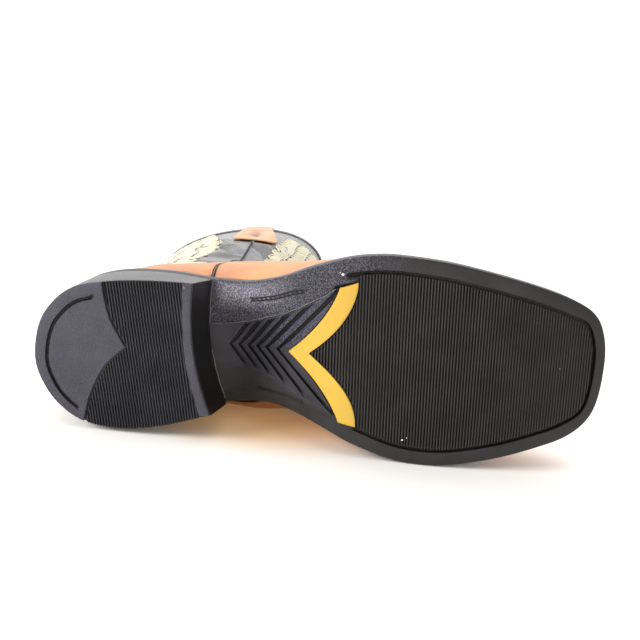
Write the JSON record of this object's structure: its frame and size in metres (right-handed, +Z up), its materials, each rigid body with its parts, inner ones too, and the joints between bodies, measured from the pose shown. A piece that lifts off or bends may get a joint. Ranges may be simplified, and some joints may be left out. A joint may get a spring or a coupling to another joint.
{
  "type": "western boot",
  "caption": "Right western boot lying on its inner side: hollow leather upper with tan vamp and counter, black shaft, pull straps, square toe, welt and ribbed rubber sole with a yellow V band.",
  "frame": {"origin": "bottom centre of the bounding box, on the floor that the boot lies on", "axes": "+X from heel to toe, +Y from the tread up the shaft, +Z up from the floor, through the boot from its inner side to its outer side"},
  "size_m": [0.3024, 0.335, 0.1102],
  "materials": {
    "sole_rubber": "satin",
    "inlay_rubber": "satin",
    "tan_leather": "satin",
    "black_leather": "glossy",
    "insole_leather": "matte"
  },
  "bodies": {
    "root": {"outsole": "sole_rubber", "chevron_inlay": "inlay_rubber", "heel": "sole_rubber", "welt": "sole_rubber", "insole": "insole_leather", "upper": "black_leather", "vamp": "tan_leather", "heel_counter": "tan_leather", "collar_binding": "black_leather", "side_bead_lateral": "black_leather", "side_bead_medial": "black_leather", "pull_strap_lateral": "tan_leather", "pull_strap_medial": "tan_leather"}
  },
  "joints": []
}
